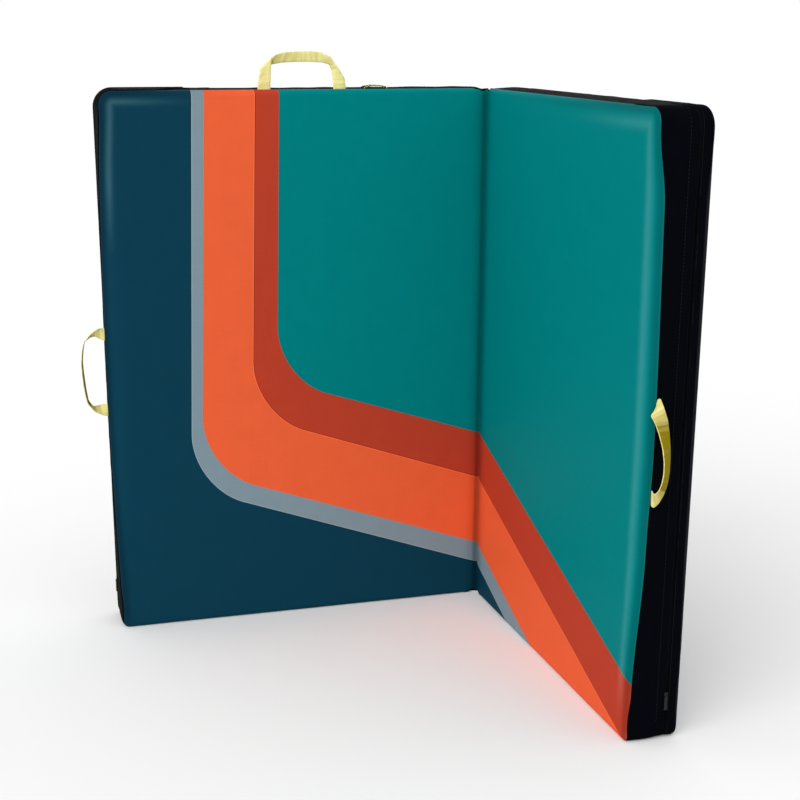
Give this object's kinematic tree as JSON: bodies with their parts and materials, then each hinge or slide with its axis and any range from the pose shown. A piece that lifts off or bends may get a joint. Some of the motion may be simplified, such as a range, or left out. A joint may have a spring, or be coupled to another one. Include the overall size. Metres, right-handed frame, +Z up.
{
  "type": "bouldering crash pad",
  "caption": "Hinged two-panel climbing crash pad standing open on edge, with striped landing fabric, webbing handles and a carrying harness.",
  "frame": {"origin": "middle of the lower wall of the half that carries the harness, on the floor", "axes": "+X along that half towards the fold, +Y from its landing side to its ground side, +Z up along the fold"},
  "size_m": [0.9337, 0.9794, 1.1295],
  "materials": {
    "landing_fabric": "matte woven nylon in stripes of teal, rust, orange, grey and navy",
    "ground_fabric": "coated heavy woven nylon, blue-black",
    "black_webbing": "woven nylon webbing, black",
    "yellow_webbing": "woven nylon webbing, light yellow",
    "closed_cell_foam": "closed-cell foam, charcoal",
    "open_cell_foam": "open-cell foam, cream",
    "black_plastic": "moulded acetal, black",
    "zip_metal": "blackened zinc die casting"
  },
  "bodies": {
    "strap_half": {"landing_cover_strap_half": "landing_fabric", "ground_cover_strap_half": "ground_fabric", "main_gusset_strap_half": "ground_fabric", "end_gusset_front_strap_half": "ground_fabric", "end_gusset_back_strap_half": "ground_fabric", "zip_tape_strap_half": "black_webbing", "landing_foam_strap_half": "closed_cell_foam", "core_foam_strap_half": "open_cell_foam", "base_foam_strap_half": "closed_cell_foam", "hinge_leaf_strap_half": "landing_fabric", "zip_coil_strap_half": "black_plastic", "zip_flap_strap_half": "ground_fabric", "edge_tab_strap_half": "black_webbing", "yoke_patch_strap_half": "black_webbing", "foot_patch_near_strap_half": "black_webbing", "foot_patch_far_strap_half": "black_webbing", "belt_patch_near_strap_half": "black_webbing", "belt_patch_far_strap_half": "black_webbing", "shoulder_pad_near_strap_half": "ground_fabric", "shoulder_pad_far_strap_half": "ground_fabric", "ladder_lock_near_strap_half": "black_plastic", "ladder_lock_far_strap_half": "black_plastic", "strap_webbing_near_strap_half": "black_webbing", "strap_webbing_far_strap_half": "black_webbing", "waist_belt_near_strap_half": "black_webbing", "waist_belt_far_strap_half": "black_webbing", "waist_buckle_female_strap_half": "black_plastic", "closure_patch_1_strap_half": "black_webbing", "closure_patch_2_strap_half": "black_webbing"},
    "plain_half": {"landing_cover_plain_half": "landing_fabric", "ground_cover_plain_half": "ground_fabric", "main_gusset_plain_half": "ground_fabric", "end_gusset_front_plain_half": "ground_fabric", "end_gusset_back_plain_half": "ground_fabric", "zip_tape_plain_half": "black_webbing", "landing_foam_plain_half": "closed_cell_foam", "core_foam_plain_half": "open_cell_foam", "base_foam_plain_half": "closed_cell_foam", "hinge_leaf_plain_half": "landing_fabric", "zip_coil_plain_half": "black_plastic", "zip_flap_plain_half": "ground_fabric", "closure_patch_1_plain_half": "black_webbing", "closure_patch_2_plain_half": "black_webbing"},
    "strap_side_handle": {"side_handle_strap_half": "yellow_webbing"},
    "plain_side_handle": {"side_handle_plain_half": "yellow_webbing"},
    "top_handle": {"top_handle_strap_half": "yellow_webbing"},
    "strap_zip_slider": {"zip_slider_strap_half": "zip_metal"},
    "strap_zip_pull": {"zip_pull_strap_half": "zip_metal"},
    "plain_zip_slider": {"zip_slider_plain_half": "zip_metal"},
    "plain_zip_pull": {"zip_pull_plain_half": "zip_metal"},
    "waist_buckle_male": {"waist_buckle_male_strap_half": "black_plastic"},
    "strap_closure_1": {"closure_strap_1_strap_half": "black_webbing", "closure_male_1_strap_half": "black_plastic"},
    "plain_closure_1": {"closure_strap_1_plain_half": "black_webbing", "closure_female_1_plain_half": "black_plastic"},
    "strap_closure_2": {"closure_strap_2_strap_half": "black_webbing", "closure_male_2_strap_half": "black_plastic"},
    "plain_closure_2": {"closure_strap_2_plain_half": "black_webbing", "closure_female_2_plain_half": "black_plastic"}
  },
  "joints": [
    {"name": "fold", "type": "hinge", "parent": "strap_half", "child": "plain_half", "pos_m": [0.381, -0.05175, 0], "axis": [0, 0, 1], "range_deg": [-90, 90]},
    {"name": "strap_side_handle_swing", "type": "hinge", "parent": "strap_half", "child": "strap_side_handle", "pos_m": [-0.39064, -0.0305, 0.54], "axis": [0, 0, 1], "range_deg": [-60, 70]},
    {"name": "plain_side_handle_swing", "type": "hinge", "parent": "plain_half", "child": "plain_side_handle", "pos_m": [0.40225, -0.82339, 0.54], "axis": [0, 0, -1], "range_deg": [-45, 80]},
    {"name": "top_handle_swing", "type": "hinge", "parent": "strap_half", "child": "top_handle", "pos_m": [0.006, -0.0305, 1.06782], "axis": [1, 0, 0], "range_deg": [-75, 75]},
    {"name": "strap_zip_slide", "type": "slide", "parent": "strap_half", "child": "strap_zip_slider", "axis": [0, 0, 1], "range_m": [0, 0.92]},
    {"name": "strap_zip_pull_lift", "type": "hinge", "parent": "strap_zip_slider", "child": "strap_zip_pull", "pos_m": [-0.3862, 0.02125, 0.081], "axis": [0, 1, 0], "range_deg": [0, 160]},
    {"name": "plain_zip_slide", "type": "slide", "parent": "plain_half", "child": "plain_zip_slider", "axis": [0, 0, 1], "range_m": [0, 0.92]},
    {"name": "plain_zip_pull_lift", "type": "hinge", "parent": "plain_zip_slider", "child": "plain_zip_pull", "pos_m": [0.454, -0.81895, 0.081], "axis": [-1, 0, 0], "range_deg": [0, 160]},
    {"name": "waist_buckle_release", "type": "slide", "parent": "strap_half", "child": "waist_buckle_male", "axis": [-1, 0, 0], "range_m": [0, 0.032]},
    {"name": "strap_closure_1_lift", "type": "hinge", "parent": "strap_half", "child": "strap_closure_1", "pos_m": [-0.309, 0.0521, 0.85668], "axis": [1, 0, 0], "range_deg": [0, 90]},
    {"name": "plain_closure_1_lift", "type": "hinge", "parent": "plain_half", "child": "plain_closure_1", "pos_m": [0.48485, -0.74175, 0.85668], "axis": [0, -1, 0], "range_deg": [0, 90]},
    {"name": "strap_closure_2_lift", "type": "hinge", "parent": "strap_half", "child": "strap_closure_2", "pos_m": [-0.309, 0.0521, 0.49668], "axis": [1, 0, 0], "range_deg": [0, 90]},
    {"name": "plain_closure_2_lift", "type": "hinge", "parent": "plain_half", "child": "plain_closure_2", "pos_m": [0.48485, -0.74175, 0.49668], "axis": [0, -1, 0], "range_deg": [0, 90]}
  ]
}
